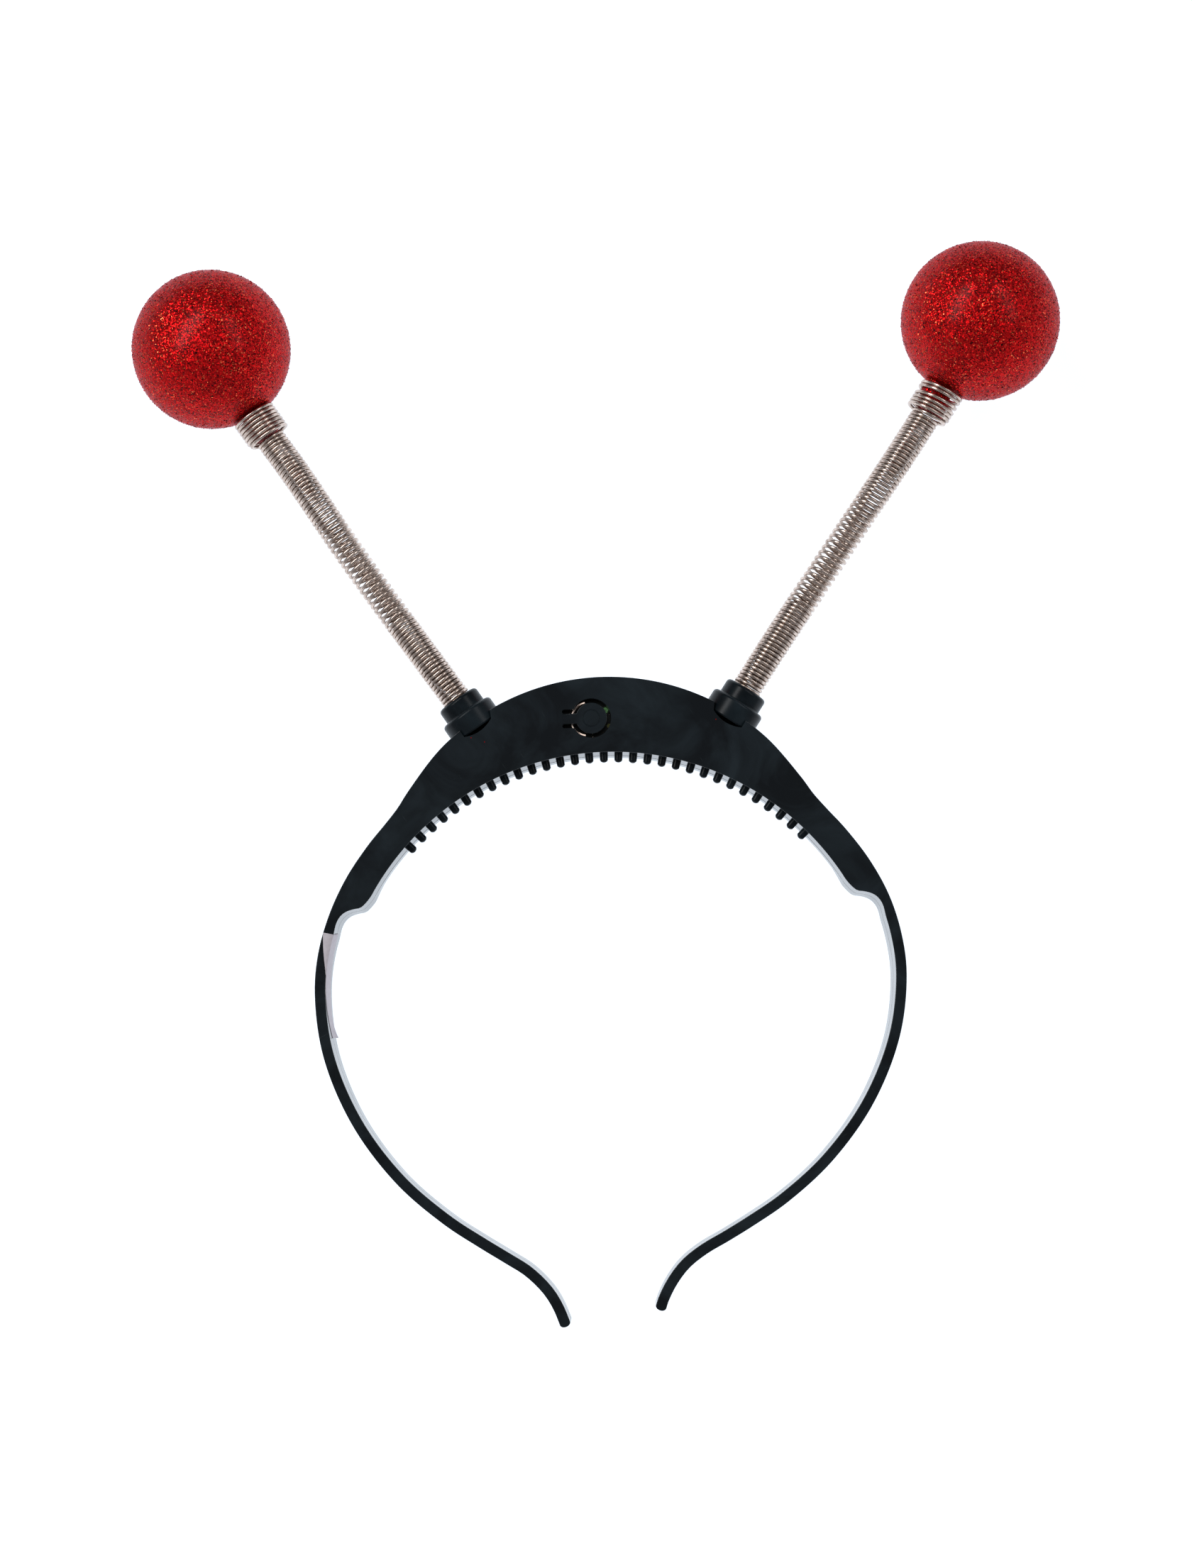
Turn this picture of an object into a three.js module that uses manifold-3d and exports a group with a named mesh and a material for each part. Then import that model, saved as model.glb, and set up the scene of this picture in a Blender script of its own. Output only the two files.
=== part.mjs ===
// A light-up costume headband lying on its back: a black plastic band in two half shells, whose hollow crown
// holds a push button and its board, with a glitter ball on a coil spring at each side.
// Millimetres. X runs across the band, Y up through the crown, Z up from the surface that it lies on.

import * as THREE from 'three';
import { mergeVertices } from 'three/addons/utils/BufferGeometryUtils.js';
import Module from 'manifold-3d';

const wasm = await Module();
wasm.setup();

// Clearance between pieces that touch on the real object
const gap = 0.3;

// Band: depth from back to front, plate and wall of the hollow crown, wall of the solid arms
const bandDepth = 15;
const plate = 1.7;
const crownWall = 1.6;
const armWall = 2.5;
const edgeRound = 0.6;
const seamZ = bandDepth / 2;

// Crown edges: two arcs centred on the Y axis, with Y = 0 at the centre of the head opening
const crownOuter = { y: 15.6, radius: 54.28, lastAngle: 46 };
const crownInner = { y: -11.6, radius: 63.72, halfAngle: 60.3 };
const hollowHalfAngle = 65;

// Outer edge of the band below the crown, by degrees from the crown about the head opening's centre.
// The shoulders are alike. The left arm is sprung a little out and the right one a little in.
const shoulder = [
  { angle: 50, radius: 63.3 },
  { angle: 54, radius: 63.4 },
  { angle: 60, radius: 64.3 },
  { angle: 68, radius: 65.75 },
  { angle: 76, radius: 67.1 },
];
const leftArm = [
  { angle: 84, radius: 68.27 },
  { angle: 92, radius: 68.88 },
  { angle: 104, radius: 69.18 },
  { angle: 118, radius: 68.98 },
  { angle: 132, radius: 68.83 },
  { angle: 144, radius: 68.88 },
  { angle: 152, radius: 69.33 },
  { angle: 158, radius: 70.33 },
  { angle: 162, radius: 71.55 },
  { angle: 166, radius: 74.5 },
  { angle: 169.1, radius: 79.35 },
  { angle: 169.5, radius: 80.8 },
];
const rightArm = [
  { angle: 84, radius: 67.94 },
  { angle: 92, radius: 68.32 },
  { angle: 104, radius: 68.02 },
  { angle: 118, radius: 67.12 },
  { angle: 132, radius: 66.27 },
  { angle: 144, radius: 65.87 },
  { angle: 152, radius: 65.92 },
  { angle: 158, radius: 66.47 },
  { angle: 163, radius: 67.36 },
  { angle: 167, radius: 69.2 },
  { angle: 170, radius: 72.15 },
  { angle: 172.1, radius: 75.6 },
  { angle: 172.4, radius: 76.35 },
];

// Inner edge where the thick crown steps down to the thin arm, by the same angles
const step = [
  { angle: 72, radius: 59.65 },
  { angle: 73, radius: 60.4 },
  { angle: 73.7, radius: 61.9 },
  { angle: 74.6, radius: 63.4 },
  { angle: 75.7, radius: 64.4 },
  { angle: 77.3, radius: 65.0 },
];
const armStartAngle = 79.5;
const edgeSegments = 92;
const arcSegments = 26;

// Comb pegs inside the crown
const peg = { count: 31, pitch: 3.113, radius: 1.0, length: 2.45, root: 0.8, z: 11.3, sides: 6 };

// Push button: a disc on a tongue that bends at its root
const button = { x: -2.6, y: 60.2, radius: 3.65, slot: 1, tongue: 6.8, tongueWidth: 2.45 };

// Board and contact ring under the button, and the posts that carry the board
const board = { width: 20, height: 11, thickness: 1.2, top: 10.6, corner: 1 };
const contact = { radius: 4.3, width: 0.6, height: 0.6, openAngle: 170 };
const post = { radius: 1.8, spread: 7 };

// Antennas: a foot in the crown, then collar, spring and ball along one axis that leans out and rises
const foot = { x: 28.9, y: 58.5, z: 9 };
const antennas = [
  { side: 'left', sign: -1, lean: 33.2, ballAt: 110.66 },
  { side: 'right', sign: 1, lean: 34.5, ballAt: 112.36 },
];
const ball = { radius: 18.6, wall: 1.2, neckRadius: 3.7, neckWall: 1.1, neckLength: 5.3 };
const collar = {
  start: 1, shoulder: 6, mouth: 9.6, radius: 6.6, upperRadius: 5.2, bore: 3.85, round: 0.8,
};
const notchWidth = 7.6;

// Springs, from inside the collar to the ball's neck: turns, pitch and mean radius of each stretch
const wireRadius = 0.5;
const coilRadius = 3.05;
const gripRadius = 4.8;
const coilStart = 5;
const coilChord = 3.8;
const springs = {
  left: [
    { turns: 28.5, pitch: 0.94, radius: coilRadius },
    { turns: 18.5, pitch: 1.46, radius: coilRadius },
    { turns: 9.5, pitch: 1.08, radius: coilRadius },
    { turns: 16, pitch: 0.96, radius: coilRadius },
    { turns: 7, pitch: 0.97, radius: gripRadius },
  ],
  right: [
    { turns: 28.5, pitch: 0.96, radius: coilRadius },
    { turns: 18.5, pitch: 1.5, radius: coilRadius },
    { turns: 9.5, pitch: 1.08, radius: coilRadius },
    { turns: 16, pitch: 0.97, radius: coilRadius },
    { turns: 4, pitch: 0.97, radius: gripRadius },
    { turns: 1, pitch: 1.9, radius: gripRadius },
    { turns: 1.6, pitch: 0.95, radius: gripRadius },
  ],
};

// Paper label inside the left arm: its upper end folds out over the front edge
const label = {
  startAngle: 78.7, length: 25, skew: 1.8, thickness: 0.2,
  bottom: 2.5, top: 14.6, fold: 2.8, rise: 1.1, lifted: 0.4,
};

const degrees = THREE.MathUtils.degToRad;
const up = new THREE.Vector3(0, 1, 0);

// Finishes
const blackPlastic = { color: 0x14181b, roughness: 0.28, metalness: 0 };
const finishes = {
  shell: blackPlastic,
  collar: blackPlastic,
  button: blackPlastic,
  spring: { color: 0xb9b2ac, roughness: 0.25, metalness: 1 },
  glitter: { color: 0xb3141c, roughness: 0.4, metalness: 0.3 },
  board: { color: 0x2f8a3a, roughness: 0.5, metalness: 0 },
  brass: { color: 0xc9a05a, roughness: 0.3, metalness: 1 },
  paper: { color: 0xe9e4e4, roughness: 0.9, metalness: 0 },
};

function piece(name, geometry, finish) {
  geometry.computeVertexNormals();
  const mesh = new THREE.Mesh(geometry, new THREE.MeshStandardMaterial(finishes[finish]));
  mesh.name = name;
  return mesh;
}

// Closed geometry to a solid for cutting, without the empty triangles at a lathe's poles
function toSolid(geometry) {
  const bare = geometry.clone();
  bare.deleteAttribute('normal');
  bare.deleteAttribute('uv');
  const merged = mergeVertices(bare, 1e-4);
  const corners = merged.index.array;
  const kept = [];
  for (let i = 0; i < corners.length; i += 3) {
    const [a, b, c] = corners.slice(i, i + 3);
    if (a !== b && b !== c && c !== a) kept.push(a, b, c);
  }
  const vertProperties = new Float32Array(merged.attributes.position.array);
  return new wasm.Manifold(new wasm.Mesh({ numProp: 3, vertProperties, triVerts: new Uint32Array(kept) }));
}

function toGeometry(solid) {
  const { vertProperties, triVerts } = solid.getMesh();
  const geometry = new THREE.BufferGeometry();
  geometry.setAttribute('position', new THREE.BufferAttribute(vertProperties, 3));
  geometry.setIndex(new THREE.BufferAttribute(triVerts, 1));
  return geometry;
}

function extruded(shape, bottom, top) {
  const geometry = new THREE.ExtrudeGeometry(shape, { depth: top - bottom, bevelEnabled: false });
  return geometry.translate(0, 0, bottom);
}

// Point at an angle from the crown, with sign -1 on the left and 1 on the right
function polar({ angle, radius }, sign) {
  const turn = degrees(angle);
  return new THREE.Vector2(sign * radius * Math.sin(turn), radius * Math.cos(turn));
}

function angleOf(point) {
  return THREE.MathUtils.radToDeg(Math.atan2(Math.abs(point.x), point.y));
}

// Distance from the head opening's centre to an arc centred at (0, y)
function arcRadius(arc, angle) {
  const turn = degrees(angle);
  return arc.y * Math.cos(turn) + Math.sqrt(arc.radius ** 2 - (arc.y * Math.sin(turn)) ** 2);
}

function arcPoints(arc, radius, halfAngle, segments) {
  const points = [];
  for (let i = 0; i <= segments; i += 1) {
    const turn = degrees(halfAngle * (1 - (2 * i) / segments));
    points.push(new THREE.Vector2(radius * Math.sin(turn), arc.y + radius * Math.cos(turn)));
  }
  return points;
}

// Outer edge from the left tip over the crown to the right tip
function outerEdge() {
  const crown = [];
  for (let i = -4; i <= 4; i += 1) {
    const angle = (crownOuter.lastAngle * Math.abs(i)) / 4;
    crown.push(polar({ angle, radius: arcRadius(crownOuter, angle) }, Math.sign(i) || 1));
  }
  const left = [...shoulder, ...leftArm].map((row) => polar(row, -1)).reverse();
  const right = [...shoulder, ...rightArm].map((row) => polar(row, 1));
  const through = [...left, ...crown, ...right].map((p) => new THREE.Vector3(p.x, p.y, 0));
  const spline = new THREE.CatmullRomCurve3(through, false, 'centripetal');
  return spline.getSpacedPoints(edgeSegments).map((p) => new THREE.Vector2(p.x, p.y));
}

// The same edge moved towards the head opening, which lies to the right of its direction
function inset(points, distance) {
  return points.map((point, i) => {
    const before = points[Math.max(i - 1, 0)];
    const after = points[Math.min(i + 1, points.length - 1)];
    const along = after.clone().sub(before).normalize();
    return new THREE.Vector2(along.y, -along.x).multiplyScalar(distance).add(point);
  });
}

function roundTip(from, to) {
  const middle = from.clone().add(to).multiplyScalar(0.5);
  return [45, 90, 135].map((turn) => from.clone().rotateAround(middle, -degrees(turn)));
}

const edge = outerEdge();
const armInside = inset(edge, armWall);

function bandOutline() {
  const leftInside = armInside.filter((p, i) => p.x < 0 && angleOf(edge[i]) > armStartAngle);
  const rightInside = armInside.filter((p, i) => p.x > 0 && angleOf(edge[i]) > armStartAngle);
  const stepPoints = (sign) => step.map((row) => polar(row, sign));
  return new THREE.Shape([
    ...edge,
    ...roundTip(edge.at(-1), rightInside.at(-1)),
    ...rightInside.reverse(),
    ...stepPoints(1).reverse(),
    ...arcPoints(crownInner, crownInner.radius, crownInner.halfAngle, arcSegments),
    ...stepPoints(-1),
    ...leftInside.reverse(),
    ...roundTip(leftInside.at(-1), edge[0]),
  ]);
}

// Whole band with rounded edges, before it is split at the seam
function bandBody() {
  const geometry = new THREE.ExtrudeGeometry(bandOutline(), {
    depth: bandDepth - 2 * edgeRound,
    bevelThickness: edgeRound,
    bevelSize: edgeRound,
    bevelOffset: -edgeRound,
    bevelSegments: 1,
  });
  return toSolid(geometry.translate(0, 0, edgeRound));
}

function crownHollow() {
  const outside = inset(edge, crownWall).filter((p, i) => angleOf(edge[i]) < hollowHalfAngle);
  const inside = arcPoints(crownInner, crownInner.radius + crownWall, crownInner.halfAngle - 5, arcSegments);
  return toSolid(extruded(new THREE.Shape([...outside, ...inside]), plate, bandDepth - plate));
}

function slab(bottom, top) {
  const size = 400;
  const geometry = new THREE.BoxGeometry(size, size, top - bottom);
  return toSolid(geometry.translate(0, 0, (bottom + top) / 2));
}

// Direction of an antenna's axis, which rises until its ball rests on the surface
function antennaAxis({ sign, lean, ballAt }) {
  const rise = Math.asin((ball.radius - foot.z) / ballAt);
  const outward = degrees(lean);
  const flat = Math.cos(rise);
  return new THREE.Vector3(sign * Math.sin(outward) * flat, Math.cos(outward) * flat, Math.sin(rise));
}

function antennaPlace(antenna) {
  const turn = new THREE.Quaternion().setFromUnitVectors(up, antennaAxis(antenna));
  const at = new THREE.Vector3(antenna.sign * foot.x, foot.y, foot.z);
  return new THREE.Matrix4().compose(at, turn, new THREE.Vector3(1, 1, 1));
}

// Round seat for a collar through the crown's wall, and the notch in the front plate that it shows through
function collarSeat(antenna) {
  const reach = 14;
  const seat = new THREE.CylinderGeometry(collar.radius + gap, collar.radius + gap, reach, 24);
  seat.translate(0, reach / 2, 0).applyMatrix4(antennaPlace(antenna));
  const notch = new THREE.BoxGeometry(notchWidth, reach, bandDepth);
  notch.translate(0, reach / 2, 0).rotateZ(-antenna.sign * degrees(antenna.lean));
  notch.translate(antenna.sign * foot.x, foot.y, foot.z + bandDepth / 2);
  return toSolid(seat).add(toSolid(notch));
}

// Opening round the button: a circle with a square-ended way for the tongue
function buttonOpening() {
  const radius = button.radius + button.slot;
  const half = button.tongueWidth / 2 + button.slot;
  const meet = Math.asin(half / radius);
  const shape = new THREE.Shape();
  shape.moveTo(-button.tongue - gap, half);
  shape.lineTo(-button.tongue - gap, -half);
  shape.absarc(0, 0, radius, Math.PI + meet, Math.PI - meet + 2 * Math.PI, false);
  const points = shape.getPoints(12);
  const geometry = extruded(new THREE.Shape(points), seamZ, bandDepth + plate);
  return toSolid(geometry.translate(button.x, button.y, 0));
}

function combPegs() {
  const profile = [
    [0, -peg.root],
    [peg.radius, -peg.root],
    [peg.radius * 0.9, peg.length * 0.75],
    [0, peg.length],
  ].map(([r, y]) => new THREE.Vector2(r, y));
  const solids = [];
  for (let i = 0; i < peg.count; i += 1) {
    const turn = degrees(peg.pitch * (i - (peg.count - 1) / 2));
    const geometry = new THREE.LatheGeometry(profile, peg.sides);
    geometry.rotateZ(Math.PI - turn);
    const away = crownInner.radius;
    geometry.translate(away * Math.sin(turn), crownInner.y + away * Math.cos(turn), peg.z);
    solids.push(toSolid(geometry));
  }
  return solids;
}

// Posts on the back plate, up to just under the board
function boardPosts() {
  const bottom = plate / 2;
  const top = board.top - board.thickness - gap;
  return [-1, 1].map((sign) => {
    const geometry = new THREE.CylinderGeometry(post.radius, post.radius, top - bottom, 10);
    geometry.rotateX(Math.PI / 2);
    geometry.translate(button.x + sign * post.spread, button.y, (bottom + top) / 2);
    return toSolid(geometry);
  });
}

function shells() {
  const seats = antennas.map(collarSeat);
  const hollow = seats.reduce((body, seat) => body.subtract(seat), bandBody().subtract(crownHollow()));
  const front = hollow.intersect(slab(seamZ + gap / 2, 2 * bandDepth)).subtract(buttonOpening());
  const back = hollow.intersect(slab(-bandDepth, seamZ - gap / 2));
  return [
    piece('front_shell', toGeometry(combPegs().reduce((body, tooth) => body.add(tooth), front)), 'shell'),
    piece('back_shell', toGeometry(boardPosts().reduce((body, stud) => body.add(stud), back)), 'shell'),
  ];
}

function pushButton() {
  const half = button.tongueWidth / 2;
  const meet = Math.asin(half / button.radius);
  const shape = new THREE.Shape();
  shape.moveTo(-button.tongue, half);
  shape.lineTo(-button.tongue, -half);
  shape.absarc(0, 0, button.radius, Math.PI + meet, Math.PI - meet + 2 * Math.PI, false);
  const geometry = extruded(new THREE.Shape(shape.getPoints(12)), bandDepth - plate, bandDepth);
  return piece('push_button', geometry.translate(button.x, button.y, 0), 'button');
}

function circuitBoard() {
  const [w, h, c] = [board.width / 2, board.height / 2, board.corner];
  const corners = [
    [c - w, -h], [w - c, -h], [w, c - h], [w, h - c], [w - c, h], [c - w, h], [-w, h - c], [-w, c - h],
  ];
  const shape = new THREE.Shape(corners.map(([x, y]) => new THREE.Vector2(x, y)));
  const geometry = extruded(shape, board.top - board.thickness, board.top);
  return piece('circuit_board', geometry.translate(button.x, button.y, 0), 'board');
}

function switchContact() {
  const open = degrees(contact.openAngle / 2);
  const shape = new THREE.Shape();
  shape.absarc(0, 0, contact.radius + contact.width / 2, open, 2 * Math.PI - open, false);
  shape.absarc(0, 0, contact.radius - contact.width / 2, 2 * Math.PI - open, open, true);
  const bottom = board.top + gap;
  const geometry = extruded(new THREE.Shape(shape.getPoints(7)), bottom, bottom + contact.height);
  return piece('switch_contact', geometry.translate(button.x, button.y, 0), 'brass');
}

function collarPiece(side) {
  const { start, shoulder: ledge, mouth, radius, upperRadius, bore, round } = collar;
  const profile = [
    [bore, start],
    [radius, start],
    [radius, ledge - round],
    [radius - round, ledge],
    [upperRadius, ledge],
    [upperRadius, mouth - round],
    [upperRadius - round, mouth],
    [bore, mouth],
    [bore, start],
  ].map(([r, y]) => new THREE.Vector2(r, y));
  return piece(`socket_${side}`, new THREE.LatheGeometry(profile, 18), 'collar');
}

// Hollow ball, open at the end of its neck
function ballPiece({ side, ballAt }) {
  const inside = ball.radius - ball.wall;
  const neckInside = ball.neckRadius - ball.neckWall;
  const neckEnd = ballAt - ball.radius - ball.neckLength;
  const sphere = (radius, from, to, rings) => Array.from({ length: rings + 1 }, (_, i) => {
    const turn = from + ((to - from) * i) / rings;
    return new THREE.Vector2(radius * Math.sin(turn), ballAt + radius * Math.cos(turn));
  });
  const profile = [
    ...sphere(inside, 0, Math.PI - Math.asin(neckInside / inside), 5),
    new THREE.Vector2(neckInside, neckEnd),
    new THREE.Vector2(ball.neckRadius, neckEnd),
    ...sphere(ball.radius, Math.PI - Math.asin(ball.neckRadius / ball.radius), 0, 9),
  ];
  profile[0].x = 0;
  profile.at(-1).x = 0;
  return piece(`ball_${side}`, new THREE.LatheGeometry(profile, 20), 'glitter');
}

// Right-hand helix along Y whose pitch and radius follow the rows of a table
class Coil extends THREE.Curve {
  constructor(rows, length) {
    super();
    this.rows = rows;
    this.turns = rows.reduce((sum, row) => sum + row.turns, 0);
    this.stretch = length / rows.reduce((sum, row) => sum + row.turns * row.pitch, 0);
    this.arcLengthDivisions = Math.ceil(this.turns * 24);
  }

  getPoint(t, target = new THREE.Vector3()) {
    const widening = 0.7;
    let turn = t * this.turns;
    const angle = 2 * Math.PI * turn;
    let y = 0;
    let radius = this.rows[0].radius;
    for (const row of this.rows) {
      const part = Math.min(turn, row.turns);
      y += part * row.pitch * this.stretch;
      radius += (row.radius - radius) * THREE.MathUtils.smoothstep(part, 0, widening);
      turn -= part;
      if (turn <= 0) break;
    }
    return target.set(radius * Math.sin(angle), y, radius * Math.cos(angle));
  }
}

function springPiece({ side, ballAt }) {
  const length = ballAt - Math.sqrt(ball.radius ** 2 - gripRadius ** 2) - wireRadius - gap - coilStart;
  const coil = new Coil(springs[side], length);
  const steps = Math.round(coil.getLength() / coilChord);
  const wire = new THREE.Shape([0, 1, 2].map((third) => {
    const turn = (third * 2 * Math.PI) / 3;
    return new THREE.Vector2(wireRadius * Math.cos(turn), wireRadius * Math.sin(turn));
  }));
  const geometry = new THREE.ExtrudeGeometry(wire, { steps, extrudePath: coil, bevelEnabled: false });
  return piece(`spring_${side}`, geometry.translate(0, coilStart, 0), 'spring');
}

// Thin sheet against the inside of the left arm, bent by moving the points of a flat one
function paperLabel() {
  const isLeftArm = (p, i) => p.x < 0 && angleOf(edge[i]) > hollowHalfAngle;
  const wall = inset(edge, armWall + gap).filter(isLeftArm).reverse();
  const line = new THREE.CatmullRomCurve3(wall.map((p) => new THREE.Vector3(p.x, p.y, 0)));
  const wallSteps = 400;
  const start = line.getSpacedPoints(wallSteps).findIndex((p) => angleOf(p) > label.startAngle) / wallSteps;
  const geometry = new THREE.BoxGeometry(1, 1, 1, 8, 1, 4);
  const position = geometry.attributes.position;
  const foldFrom = 0.75;
  for (let i = 0; i < position.count; i += 1) {
    const along = position.getX(i) + 0.5;
    const across = position.getY(i) + 0.5;
    const height = position.getZ(i) + 0.5;
    const lift = Math.max(0, 1 - along / label.lifted) ** 1.5;
    const over = Math.max(0, (height - foldFrom) / (1 - foldFrom)) * lift;
    const distance = along * label.length + label.skew * (height - 0.5) * (1 - along);
    const at = line.getPointAt(start + distance / line.getLength());
    const tangent = line.getTangentAt(start + distance / line.getLength());
    const inward = new THREE.Vector3(-tangent.y, tangent.x, 0);
    const rising = Math.min(height / foldFrom, 1) * label.rise * lift + over * label.rise;
    const z = label.bottom + (label.top - label.bottom) * Math.min(1, height / (1 - 0.25 * lift)) + rising;
    at.addScaledVector(inward, across * label.thickness * (1 - over) - label.fold * over);
    position.setXYZ(i, at.x, at.y, z + across * label.thickness * over);
  }
  return piece('paper_label', geometry, 'paper');
}

const headband = new THREE.Group();
headband.add(...shells(), pushButton(), circuitBoard(), switchContact(), paperLabel());
for (const antenna of antennas) {
  const stem = new THREE.Group();
  stem.applyMatrix4(antennaPlace(antenna));
  stem.add(collarPiece(antenna.side), springPiece(antenna), ballPiece(antenna));
  headband.add(stem);
}

// Origin at the middle of the underside of the whole
const whole = new THREE.Box3().setFromObject(headband, true);
const middle = whole.getCenter(new THREE.Vector3());
headband.position.set(-middle.x, -middle.y, -whole.min.z);

export default headband;
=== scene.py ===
# Light-up antenna headband: black plastic band and two sprung glitter balls, lying on a white table
import math

import bpy
import numpy as np
from mathutils import Matrix, Vector


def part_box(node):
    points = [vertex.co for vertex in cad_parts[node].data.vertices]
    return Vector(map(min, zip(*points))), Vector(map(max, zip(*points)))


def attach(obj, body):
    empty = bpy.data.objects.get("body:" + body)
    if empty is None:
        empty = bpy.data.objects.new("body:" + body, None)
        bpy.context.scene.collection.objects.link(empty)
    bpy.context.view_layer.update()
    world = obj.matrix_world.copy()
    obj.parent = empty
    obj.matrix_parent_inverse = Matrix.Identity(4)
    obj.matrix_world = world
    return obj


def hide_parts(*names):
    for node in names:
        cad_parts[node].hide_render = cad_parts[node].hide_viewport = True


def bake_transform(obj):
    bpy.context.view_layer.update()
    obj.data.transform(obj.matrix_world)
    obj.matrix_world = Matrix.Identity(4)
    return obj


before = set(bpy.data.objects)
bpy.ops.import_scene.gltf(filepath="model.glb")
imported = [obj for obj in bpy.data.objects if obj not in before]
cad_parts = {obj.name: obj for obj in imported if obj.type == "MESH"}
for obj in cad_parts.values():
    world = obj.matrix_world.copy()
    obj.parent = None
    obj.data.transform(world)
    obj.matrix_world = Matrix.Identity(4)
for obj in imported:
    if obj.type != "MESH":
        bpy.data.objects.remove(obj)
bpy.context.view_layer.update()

mm = 0.001

# The band is drawn in mm about the centre of the head opening, found from the board under the button
buttonAt = (-2.6, 60.2)
boardLow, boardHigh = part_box("circuit_board")
headCentre = (boardLow + boardHigh) / 2 - Vector((buttonAt[0], buttonAt[1], 0)) * mm


def bandPoint(x, y, z):
    return Vector((headCentre.x + x * mm, headCentre.y + y * mm, z * mm))


# Camera almost straight above, tipped towards the balls and a little rolled
cameraRig = {"place": (1.98, -76.57, 690), "turn": (6.461, 0.693, -1.975),
             "lens": 66.89, "film": 36, "near": 0.01}


def setCamera():
    bpy.ops.object.camera_add(
        location=[value * mm for value in cameraRig["place"]],
        rotation=[math.radians(value) for value in cameraRig["turn"]],
    )
    camera = bpy.context.object
    camera.data.lens = cameraRig["lens"]
    camera.data.sensor_width = cameraRig["film"]
    camera.data.clip_start = cameraRig["near"]
    bpy.context.scene.camera = camera


# White table that glows, a painted pool of light brightest in the middle and dimmer far out that also washes
# out cast shadows, under long softboxes; a dim ceiling keeps the black plastic black
studio = {
    "table": 30.0, "tableLow": 0.05,
    "tableWhite": "#a8a8aa", "tableGlowTint": "#ecf5ff", "tableRough": 0.9, "tableSheen": 0.1,
    "tableMiddle": (0, -0.03, 0),
    "tableGlow": [
        {"from": 0.05, "to": 0.2, "level": (1.15, 0.98)},
        {"from": 0.22, "to": 0.7, "level": (1, 0.3)},
    ],
    "boxes": [
        {"place": (-0.48, 0.33, 0.8), "size": (0.9, 0.24), "power": 5.4},
        {"place": (0.6, 0.3, 0.8), "size": (0.9, 0.24), "power": 2.2},
        {"place": (0.0, 0.95, 0.75), "size": (0.9, 0.2), "power": 0.1},
    ],
    "aim": (0.0, 0.0, 0.0),
    "sky": "#f6f8ff",
    "horizon": 0.45, "behind": 0.06, "turned": (0.0, 0.8),  # dims towards the balls' side
    "ceiling": 0.19, "raised": (0.25, 0.9),
}


def linear(hexColour):
    parts = [int(hexColour[i:i + 2], 16) / 255 for i in (1, 3, 5)]
    return [c / 12.92 if c <= 0.04045 else ((c + 0.055) / 1.055) ** 2.4 for c in parts] + [1.0]


def addNode(tree, kind, inputs=None, **settings):
    node = tree.nodes.new(kind)
    for name, value in settings.items():
        setattr(node, name, value)
    for socket, value in (inputs or {}).items():
        if isinstance(value, bpy.types.NodeSocket):
            tree.links.new(value, node.inputs[socket])
        else:
            node.inputs[socket].default_value = value
    return node


def setRamp(node, stops):
    stops = list(stops)
    elements = node.color_ramp.elements
    while len(elements) < len(stops):
        elements.new(0.5)
    for element, (position, colour) in zip(elements, stops):
        element.position = position
        element.color = linear(colour)


def newMaterial(name):
    material = bpy.data.materials.new(name)
    material.use_nodes = True
    tree = material.node_tree
    return material, tree, tree.nodes["Principled BSDF"]


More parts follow.
